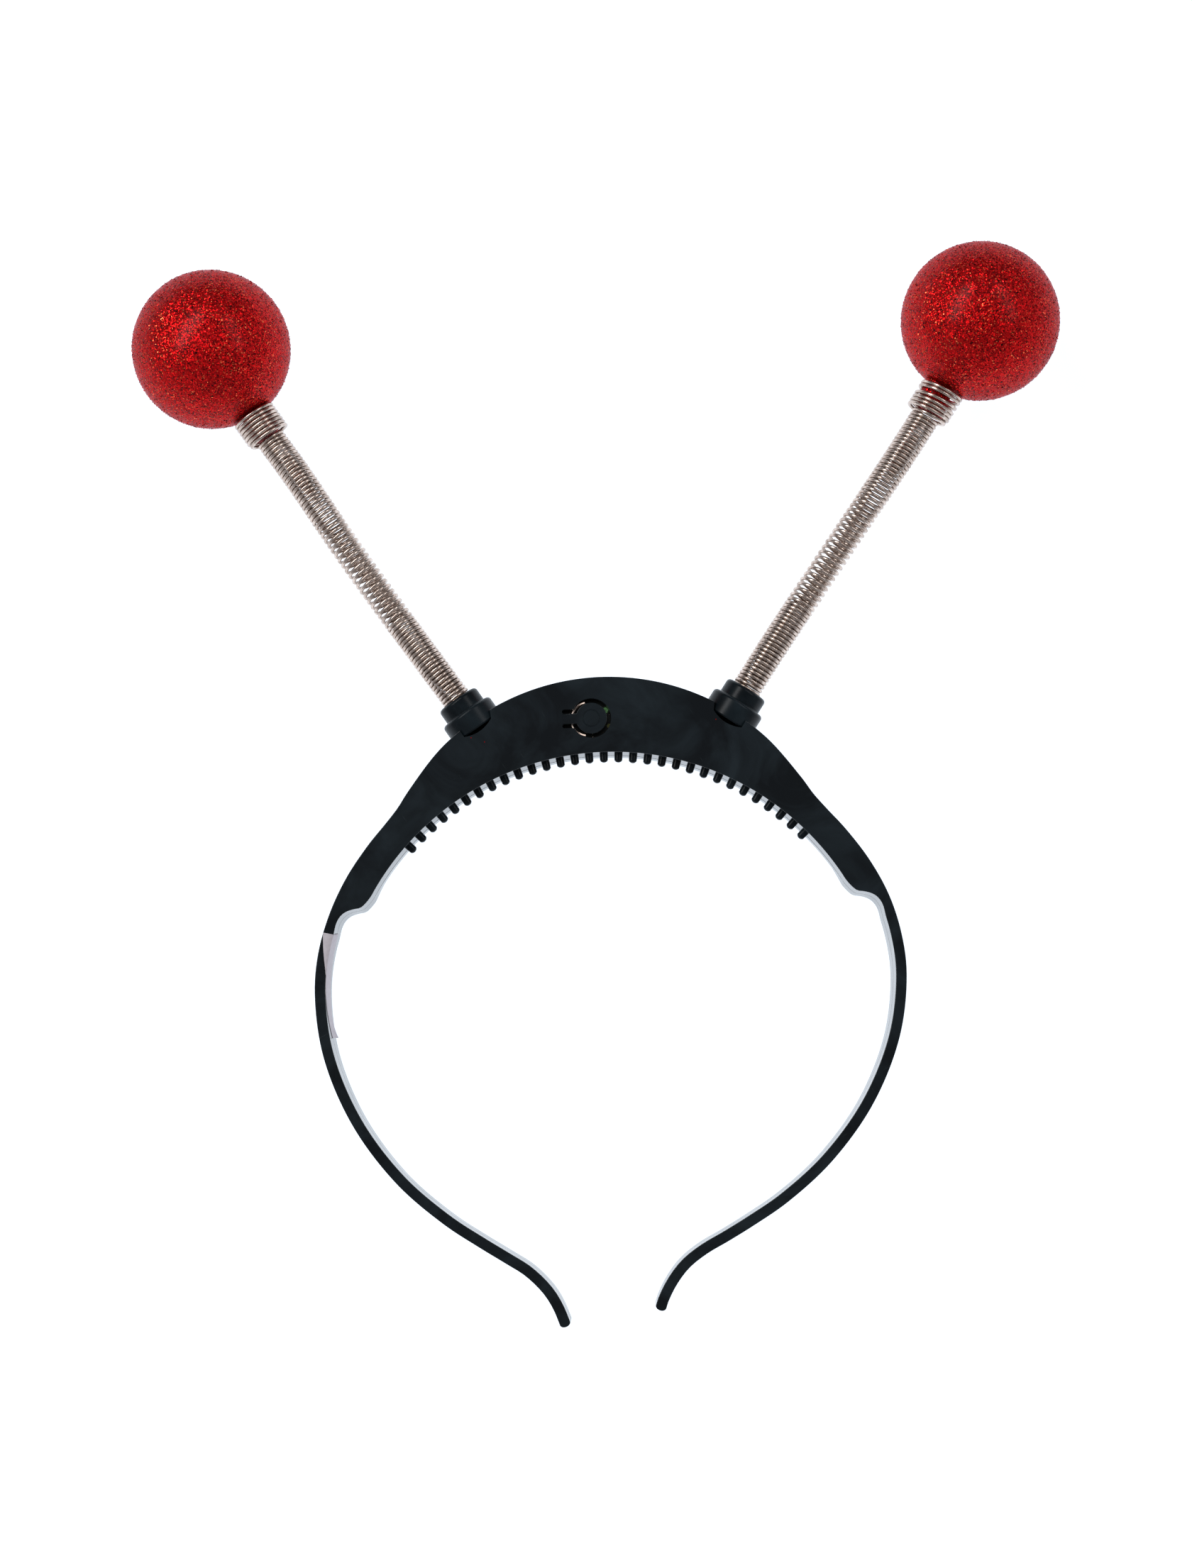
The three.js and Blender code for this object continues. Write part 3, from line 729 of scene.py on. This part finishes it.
def buttonSlot():
    # Circle round the disc, a round-ended tail on each side of the tongue, and the tongue's own way
    outer = button["radius"] + button["slot"]
    half, tail = button["tongueWidth"] / 2, button["tail"]
    meet = math.degrees(math.asin((half + tail) / outer))
    tailEnd = -button["tongue"] + tail / 2
    points = [
        *arcAround(0, 0, outer, 180 + meet, 540 - meet, button["slotPoints"]),
        *arcAround(tailEnd, half + tail / 2, tail / 2, 90, 270, button["tailPoints"]),
        (-button["tongue"], half), (-button["tongue"], -half),
        *arcAround(tailEnd, -half - tail / 2, tail / 2, 90, 270, button["tailPoints"]),
    ]
    points = [(x + buttonAt[0], y + buttonAt[1]) for x, y in points]
    return outlinePiece("slot", points, band["depth"] / 2, band["depth"] + button["above"])


# Comb pegs with domed ends, on the front half only
peg = {
    "count": 31, "pitch": 3.113, "radius": 0.98, "length": 2.1, "dome": 0.85, "sunk": 0.2, "z": 11.3,
    "segments": 16, "rings": 10,
}


def makePegs():
    bpy.ops.object.select_all(action="DESELECT")
    bpy.ops.mesh.primitive_uv_sphere_add(
        segments=peg["segments"], ring_count=peg["rings"], radius=peg["radius"])
    model = startPiece("peg")
    shank = peg["length"] - peg["dome"] * peg["radius"]
    for vertex in model.data.vertices:
        outside = vertex.co.z > 0.01
        vertex.co.z = shank + peg["dome"] * vertex.co.z if outside else vertex.co.z - peg["sunk"]
    pegs = []
    arc = band["innerArc"]
    for number in range(peg["count"]):
        turn = math.radians(peg["pitch"] * (number - (peg["count"] - 1) / 2))
        copy = model.copy()
        copy.data = model.data.copy()
        bpy.context.scene.collection.objects.link(copy)
        at = bandPoint(arc["radius"] * math.sin(turn), arc["y"] + arc["radius"] * math.cos(turn), peg["z"])
        inward = Matrix.Rotation(-turn, 4, "Z") @ Matrix.Rotation(math.pi / 2, 4, "X")
        copy.data.transform(Matrix.Translation(at) @ inward @ Matrix.Scale(mm, 4))
        pegs.append(copy)
    bpy.data.objects.remove(model)
    joinInto(pegs[0], pegs[1:])
    piece = startPiece("combPegs")
    smoothFaces(piece, 35)
    finishPiece(piece, absSatin, "headband", "black_plastic")


def draftCrown(shell):
    # The back half's inner wall leans: set back at its foot and a little proud at the seam
    arc, fadeOut, onWall = band["innerArc"], 4, 0.05
    centre = bandPoint(0, arc["y"], 0)
    for vertex in shell.data.vertices:
        away = (vertex.co - centre).xy / mm
        left = arc["halfAngle"] - angleOf(away)
        if left > 0 and abs(away.length - arc["radius"]) < onWall:
            lean = np.interp(vertex.co.z / mm, (0, band["depth"] / 2), arc["draft"]) * min(left / fadeOut, 1)
            vertex.co.xy = centre.xy + away.normalized() * (arc["radius"] + lean) * mm


def makeShells():
    outline = bandOutline()
    middle, gap = band["depth"] / 2, band["seam"] / 2
    front = outlinePiece("frontShell", outline, middle + gap, band["depth"])
    bevelLevel(front, band["depth"], band["rim"], 4)
    hollowOut(front, middle - band["cutPast"], band["depth"] - band["plate"])
    cutSeats(front)
    cutNotches(front)
    cutAway(front, buttonSlot())
    smoothFaces(front, 35)
    finishPiece(front, absBlack, "headband", "black_plastic", "front_shell")
    back = outlinePiece("backShell", outline, 0, middle - gap)
    draftCrown(back)
    bevelLevel(back, 0, band["rim"], 4)
    hollowOut(back, band["plate"], middle + band["cutPast"])
    cutSeats(back)
    smoothFaces(back, 35)
    finishPiece(back, absBlack, "headband", "black_plastic", "back_shell")


makeShells()
makePegs()
print("half shells and pegs made")


def makeButton():
    half = button["tongueWidth"] / 2 - button["clear"]
    meet = math.degrees(math.asin(half / button["radius"]))
    root = -button["tongue"]
    circle = arcAround(0, 0, button["radius"], 180 + meet, 540 - meet, button["discPoints"])
    points = [*circle, (root, half), (root, -half)]
    points = [(x + buttonAt[0], y + buttonAt[1]) for x, y in points]
    top = band["depth"]
    disc = outlinePiece("pushButton", points, top - band["plate"], top)
    rootLine = bandPoint(buttonAt[0] + root + button["root"], 0, 0).x
    bevelLevel(disc, top, button["rim"], 3, lambda middle: middle.x > rootLine)
    bpy.ops.object.select_all(action="DESELECT")
    at = bandPoint(*buttonAt, top)
    bpy.ops.mesh.primitive_torus_add(
        major_radius=button["dimple"] * mm, minor_radius=button["dimpleDepth"] * mm,
        major_segments=48, minor_segments=10, location=at)
    ring = startPiece("dimple")
    bpy.ops.object.transform_apply()
    cutAway(disc, ring)
    smoothFaces(disc, 35)
    finishPiece(disc, absBlack, "button", "black_plastic", "push_button")


makeButton()


def spinProfile(name, profile, steps):
    # A closed loop of (radius, height) points, turned about Z and merged
    bpy.ops.object.select_all(action="DESELECT")
    bpy.ops.mesh.primitive_circle_add(vertices=len(profile), radius=1)
    piece = startPiece(name)
    for vertex, (radius, height) in zip(piece.data.vertices, profile):
        vertex.co = (radius, 0, height)
    bpy.ops.object.mode_set(mode="EDIT")
    bpy.ops.mesh.select_all(action="SELECT")
    bpy.ops.mesh.spin(steps=steps, angle=2 * math.pi, center=(0, 0, 0), axis=(0, 0, 1))
    bpy.ops.mesh.select_all(action="SELECT")
    bpy.ops.mesh.remove_doubles(threshold=1e-3)
    bpy.ops.mesh.normals_make_consistent(inside=False)
    bpy.ops.object.mode_set(mode="OBJECT")
    return piece


def makeCollar(side):
    start, ledge, mouth = collar["start"], collar["ledge"], collar["mouth"]
    lower, upper, bore, soft = collar["radius"], collar["upper"], collar["bore"], collar["round"]
    lip, base, crease = collar["lip"], collar["base"], collar["crease"]
    profile = [
        (bore, start), (lower - base, start), (lower, start + base),
        *arcAround(lower - soft, ledge - soft, soft, 0, 90, 6),
        (upper + crease, ledge), (upper, ledge + crease),
        *arcAround(upper - soft, mouth - soft, soft, 0, 90, 6),
        *arcAround(bore + lip, mouth - lip, lip, 90, 180, 4),
    ]
    piece = spinProfile(side + "Collar", profile, collar["steps"])
    piece.data.transform(antennaPlace(side))
    smoothFaces(piece, 40)
    finishPiece(piece, absSatin, "headband", "black_plastic", "socket_" + side)


# Right-hand springs from inside the collar to the ball's neck, where the last turns are wide.
# Each pitch table gives the pitch in mm at some turns, counted from the collar: pulled open half way up
spring = {
    "wire": 0.45, "radius": 3.18, "grip": 4.93, "start": 5.0, "clear": 0.15, "perTurn": 28, "roundness": 2,
    "widening": 0.7, "leaning": 10, "sag": 1.45, "skew": 0.05,
    "left": {"wide": 72.5, "last": 79.5, "pitch": [
        (0, 0.95), (27.5, 0.95), (29.5, 1.37), (38, 1.5), (46, 1.37), (49, 1.12), (57, 1.02), (60, 0.96),
        (79.5, 0.97),
    ]},
    "right": {"wide": 72.5, "last": 79.1, "pitch": [
        (0, 0.97), (27.5, 0.97), (29.5, 1.4), (38, 1.56), (46, 1.4), (49, 1.12), (57, 1.02), (60, 0.97),
        (76.4, 0.97), (76.6, 1.9), (77.4, 1.9), (77.6, 0.95), (79.1, 0.95),
    ]},
}


def coilPoints(side):
    coil, antenna = spring[side], antennas[side]
    turns = np.linspace(0, coil["last"], int(coil["last"] * spring["perTurn"]) + 1)
    pitch = np.interp(turns, *zip(*coil["pitch"]))
    climb = np.concatenate([[0], np.cumsum((pitch[1:] + pitch[:-1]) / 2 * np.diff(turns))])
    onBall = antenna["ballAt"] - math.sqrt(ball["radius"] ** 2 - spring["grip"] ** 2)
    reach = onBall - spring["wire"] - spring["clear"]
    heights = spring["start"] + climb * (reach - spring["start"]) / climb[-1]
    share = np.clip((turns - coil["wide"]) / spring["widening"], 0, 1)
    radii = spring["radius"] + (spring["grip"] - spring["radius"]) * share * share * (3 - 2 * share)
    across, upright = radii * np.cos(2 * math.pi * turns), radii * np.sin(2 * math.pi * turns)
    # The turns sag past upright between collar and neck, although the spring climbs to the ball
    ends = (collar["mouth"], collar["mouth"] + spring["leaning"],
            neckStart(side) - spring["leaning"], neckStart(side))
    lean = np.interp(heights, ends, (0, 1, 1, 0)) * spring["sag"] * math.tan(riseOf(side))
    skew = np.interp(heights, (collar["mouth"], neckStart(side)), (0, spring["skew"]))
    heights = heights - antenna["sign"] * upright * lean + across * skew
    return np.stack([across + strayAt(side, heights), upright, heights], 1)


def makeSpring(side):
    place = antennaPlace(side)
    path = [place @ Vector(point) for point in coilPoints(side)]
    curve = bpy.data.curves.new(side + "Spring", "CURVE")
    curve.dimensions = "3D"
    curve.bevel_depth = spring["wire"] * mm
    curve.bevel_resolution = spring["roundness"]
    curve.use_fill_caps = True
    line = curve.splines.new("POLY")
    line.points.add(len(path) - 1)
    for point, at in zip(line.points, path):
        point.co = (*at, 1)
    piece = bpy.data.objects.new(side + "Spring", curve)
    bpy.context.scene.collection.objects.link(piece)
    bpy.ops.object.select_all(action="DESELECT")
    piece.select_set(True)
    bpy.context.view_layer.objects.active = piece
    bpy.ops.object.convert(target="MESH")
    bpy.ops.object.shade_smooth()
    finishPiece(piece, nickel, None, "spring_steel", "spring_" + side)
    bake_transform(piece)


def makeBall(side):
    bpy.ops.object.select_all(action="DESELECT")
    bpy.ops.mesh.primitive_uv_sphere_add(
        segments=ball["segments"], ring_count=ball["rings"], radius=ball["radius"])
    piece = startPiece(side + "Ball")
    bpy.ops.object.mode_set(mode="EDIT")
    bpy.ops.mesh.select_mode(type="FACE")
    bpy.ops.mesh.select_all(action="DESELECT")
    bpy.ops.object.mode_set(mode="OBJECT")
    for face in piece.data.polygons:
        low = face.center.z < 0
        face.select = low and math.hypot(face.center.x, face.center.y) < ball["neck"]
    bpy.ops.object.mode_set(mode="EDIT")
    bpy.ops.mesh.extrude_region_move(TRANSFORM_OT_translate={"value": (0, 0, -ball["neckLength"])})
    bpy.ops.object.mode_set(mode="OBJECT")
    aside = strayAt(side, neckStart(side) + ball["neckLength"] / 2)
    for vertex in piece.data.vertices:
        if vertex.co.z < -ball["radius"] + ball["neckFrom"]:
            vertex.co.x += aside
        vertex.co.z += antennas[side]["ballAt"]
    piece.data.transform(antennaPlace(side))
    smoothFaces(piece, 50)
    finishPiece(piece, glitter, side + "_antenna", "red_glitter", "ball_" + side)


# Proud flakes: flat hexagons with a point sunk into the coat
flake = {"count": 4200, "sides": 6, "size": (0.11, 0.2), "sunk": 0.8, "tip": 0.55, "proud": (0.0, 0.08),
         "bare": 1, "seed": 7}


def flakeMesh(name, centres, normals, sizes, tints, rng):
    sides = flake["sides"]
    turns = np.linspace(0, 2 * math.pi, sides, endpoint=False)
    helper = np.where(np.abs(normals[:, 2:3]) < 0.9, (0, 0, 1), (1, 0, 0))
    across = np.cross(normals, helper)
    across /= np.linalg.norm(across, axis=1)[:, None]
    spin = rng.uniform(0, math.pi, len(centres))
    beside = np.cross(normals, across)
    first = across * np.cos(spin)[:, None] + beside * np.sin(spin)[:, None]
    second = np.cross(normals, first)
    corners = [centres + sizes[:, None] * (first * math.cos(t) + second * math.sin(t)) for t in turns]
    points = np.stack([*corners, centres - normals * sizes[:, None] * flake["sunk"]], 1)
    faces = []
    for number in range(len(centres)):
        base = number * (sides + 1)
        faces.append([base + i for i in range(sides)])
        faces += [(base + (i + 1) % sides, base + i, base + sides) for i in range(sides)]
    mesh = bpy.data.meshes.new(name)
    mesh.from_pydata(points.reshape(-1, 3).tolist(), [], faces)
    tint = mesh.attributes.new("tint", "FLOAT", "POINT")
    tint.data.foreach_set("value", np.repeat(tints, sides + 1).astype(np.float32))
    piece = bpy.data.objects.new(name, mesh)
    bpy.context.scene.collection.objects.link(piece)
    return piece


def makeFlakes(side, seed):
    rng = np.random.default_rng(seed)
    directions = rng.normal(size=(flake["count"], 3))
    directions /= np.linalg.norm(directions, axis=1)[:, None]
    bare = math.cos(math.asin((spring["grip"] + flake["bare"]) / ball["radius"]))
    directions = directions[directions[:, 2] > -bare]
    count = len(directions)
    normals = directions + flake["tip"] * rng.uniform(-1, 1, (count, 3))
    normals /= np.linalg.norm(normals, axis=1)[:, None]
    height = ball["radius"] + rng.uniform(*flake["proud"], count)
    centres = directions * height[:, None] + (0, 0, antennas[side]["ballAt"])
    sizes = rng.uniform(*flake["size"], count)
    piece = flakeMesh(side + "Glitter", centres, normals, sizes, rng.uniform(0, 1, count), rng)
    piece.data.transform(antennaPlace(side))
    finishPiece(piece, foil, side + "_antenna", "red_glitter")


# A few flakes have dropped on the crown's front
dropped = {"at": [(-30.83, 56.57), (-27.71, 55.46), (26.5, 58.85)], "above": 0.02, "size": 0.14,
           "tint": 0.6}


def makeDropped():
    rng = np.random.default_rng(flake["seed"])
    count = len(dropped["at"])
    centres = np.array([bandPoint(x, y, band["depth"] + dropped["above"]) for x, y in dropped["at"]])
    normals = np.tile((0.0, 0.0, 1.0), (count, 1))
    sizes = np.full(count, dropped["size"] * mm)
    piece = flakeMesh("droppedGlitter", centres, normals, sizes, np.full(count, dropped["tint"]), rng)
    finishPiece(piece, foil, "headband", "red_glitter")


makeDropped()
for number, side in enumerate(antennas):
    makeCollar(side)
    makeSpring(side)
    makeBall(side)
    makeFlakes(side, flake["seed"] + number)
print("collars, springs and balls made")


# Paper label along the inside of the left arm, its upper end folded out over the front edge
label = {
    "from": 77.5, "start": 1.0, "length": 24.2, "skew": 1.0, "bottom": 4.0, "tilt": 3.0, "top": 14.8,
    "lifted": 0.4, "liftBend": 1.1, "creased": 0.15, "flap": 0.2, "fold": 2.4,
    "rise": 0.9, "curl": 6, "over": 0.15,
    "drooped": 0.55, "droop": 5.5, "droopBend": 1.6, "peel": 0.8, "peelBend": (4, 2),
    "gap": 0.06, "thick": 0.12, "grid": (40, 14), "ahead": 0.5,
}


def makeLabel():
    wall = inset(edge, band["armWall"] + label["gap"])
    wall = wall[(edgeAngles > label["from"]) & (edge[:, 0] < 0)][::-1]
    along = np.concatenate([[0], np.cumsum(np.linalg.norm(np.diff(wall, axis=0), axis=1))])
    bpy.ops.object.select_all(action="DESELECT")
    columns, rows = label["grid"]
    bpy.ops.mesh.primitive_grid_add(x_subdivisions=columns, y_subdivisions=rows, size=1)
    piece = startPiece("paperLabel")
    for vertex in piece.data.vertices:
        share, height = vertex.co.x + 0.5, vertex.co.y + 0.5
        at = label["start"] + share * label["length"] + label["skew"] * (height - 0.5) * (1 - share)
        x, y = (np.interp(at, along, wall[:, i]) for i in (0, 1))
        ahead = [np.interp(at + label["ahead"], along, wall[:, i]) for i in (0, 1)]
        tangent = Vector((ahead[0] - x, ahead[1] - y)).normalized()
        lift = max(0, 1 - share / label["lifted"]) ** label["liftBend"]
        end = max(0, (share - label["drooped"]) / (1 - label["drooped"]))
        crease = min(1, lift / label["creased"])
        flat = 1 - label["flap"] * crease
        over = max(0, (height - flat) / (1 - flat)) if lift > 0 else 0
        up = min(height / flat, 1)
        clear = band["depth"] + label["over"]
        low = label["bottom"] + label["tilt"] * lift
        high = label["top"] + (clear - label["top"]) * crease - label["droop"] * end ** label["droopBend"]
        z = low + (high - low) * up + label["rise"] * lift * (up ** label["curl"] + over / 2)
        z = max(z, clear) if over > 0 else z
        peel = label["peel"] * end ** label["peelBend"][0] * (1 - height) ** label["peelBend"][1]
        outward = label["fold"] * lift * over - peel
        vertex.co = bandPoint(x + tangent.y * outward, y - tangent.x * outward, z)
    thick = piece.modifiers.new("thick", "SOLIDIFY")
    thick.thickness = label["thick"] * mm
    thick.offset = 0
    applyModifier(piece, thick)
    smoothFaces(piece, 40)
    finishPiece(piece, labelPaper(), "headband", "white_paper", "paper_label")


makeLabel()

# Sprung brass strip bent round a circle a little off the button's own.
# It is low under the tongue, and its ends stand up in the slot
contact = {"centre": (-0.85, -0.1), "radius": 3.9, "width": 0.45, "arc": (98, 262), "steps": 40, "rim": 0.12,
           "low": 12.9, "high": 14.3, "tabs": (46, 56)}
beads = {
    "size": 0.2, "segments": 12, "rings": 8,
    "at": [(-0.7, 3.7), (0.3, -4.0), (1.75, -3.8), (2.75, -2.9), (-5.4, -2.2), (4.2, 1.2)],
}


def makeContact():
    middle = (buttonAt[0] + contact["centre"][0], buttonAt[1] + contact["centre"][1])
    inner, outer = (contact["radius"] + side * contact["width"] / 2 for side in (-1, 1))
    points = [*arcAround(*middle, outer, *contact["arc"], contact["steps"]),
              *arcAround(*middle, inner, *contact["arc"][::-1], contact["steps"])]
    strip = outlinePiece("switchContact", points, boardHigh.z / mm, contact["low"])
    bevelLevel(strip, contact["low"], contact["rim"], 3)
    centre = bandPoint(*middle, 0)
    for vertex in strip.data.vertices:
        if vertex.co.z > bandPoint(0, 0, contact["low"] - 2 * contact["rim"]).z:
            away = math.degrees(math.atan2(abs(vertex.co.y - centre.y), centre.x - vertex.co.x))
            vertex.co.z += np.interp(away, contact["tabs"], (0, contact["high"] - contact["low"])) * mm
    smoothFaces(strip, 40)
    finishPiece(strip, stampedBrass(), "headband", "contact_brass", "switch_contact")


def makeBeads():
    made = []
    for x, y in beads["at"]:
        bpy.ops.object.select_all(action="DESELECT")
        at = bandPoint(x + buttonAt[0], y + buttonAt[1], boardHigh.z / mm)
        bpy.ops.mesh.primitive_uv_sphere_add(
            segments=beads["segments"], ring_count=beads["rings"], radius=beads["size"] * mm, location=at)
        made.append(startPiece("solderBeads"))
        bpy.ops.object.transform_apply()
        bpy.ops.object.shade_smooth()
    joinInto(made[0], made[1:])
    finishPiece(made[0], nickel, "headband", "spring_steel")


makeContact()
makeBeads()

# The board keeps its CAD shape
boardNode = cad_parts["circuit_board"]
boardNode.data.materials.clear()
boardNode.data.materials.append(solderMask())
print("label, board and contact made")
